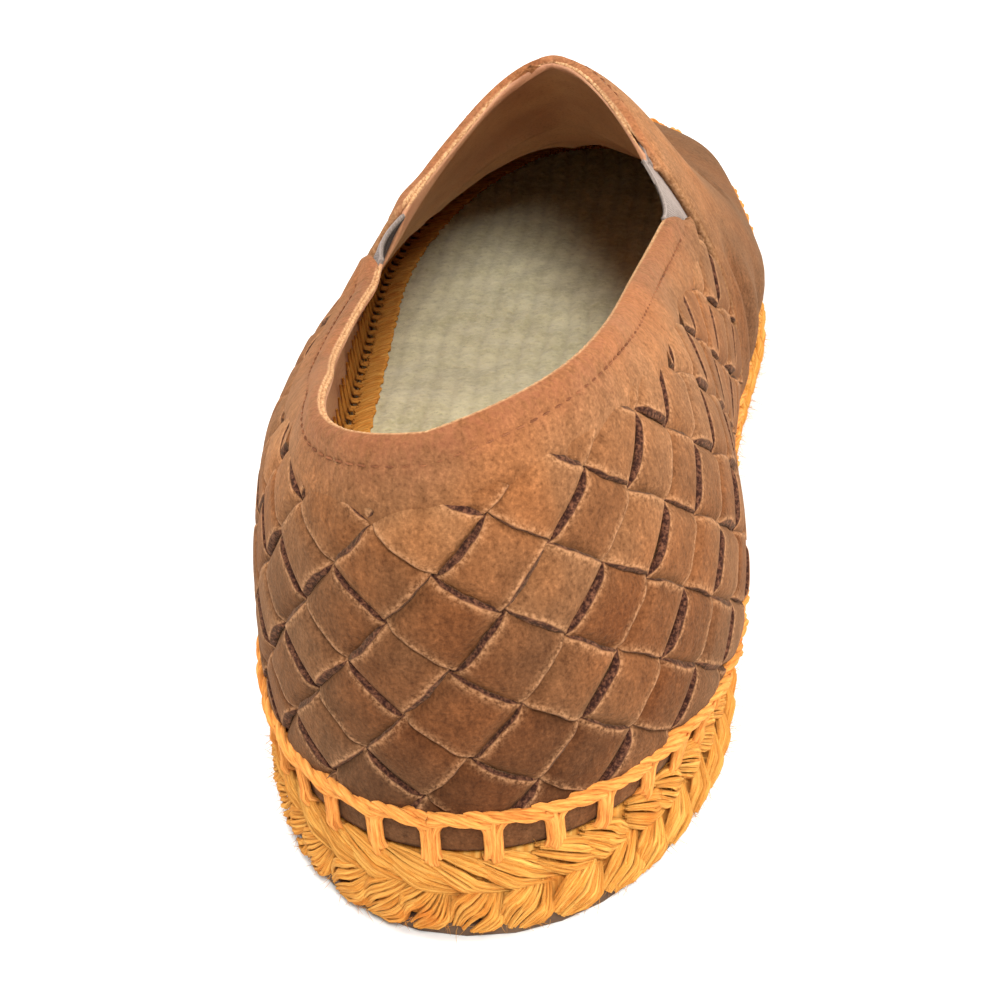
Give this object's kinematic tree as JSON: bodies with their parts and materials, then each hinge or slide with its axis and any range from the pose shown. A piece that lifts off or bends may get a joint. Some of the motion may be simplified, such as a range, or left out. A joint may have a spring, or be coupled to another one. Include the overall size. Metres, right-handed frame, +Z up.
{
  "type": "espadrille",
  "caption": "Left slip-on espadrille: woven suede upper with small elastic side gores, blanket-stitched to a plaited jute sole with a thin rubber tread.",
  "frame": {"origin": "on the ground, under the middle of the box round the whole shoe", "axes": "+Z up, +Y from heel to toe, +X towards the inner side of the left foot"},
  "size_m": [0.0892, 0.288, 0.0865],
  "materials": {
    "tread_rubber": "matt brown rubber",
    "jute_braid": "hairy dyed jute braid, orange yellow",
    "insole_knit": "fuzzy knitted rows, greenish cream",
    "suede": "rust brown napped suede",
    "lining": "smooth brown lining leather",
    "cord": "twisted orange jute cord",
    "elastic": "ribbed pinkish grey elastic"
  },
  "bodies": {
    "root": {"outsole": "tread_rubber", "midsole": "jute_braid", "insole": "insole_knit", "upper": "suede", "gore_lateral": "elastic", "gore_medial": "elastic"}
  },
  "joints": []
}
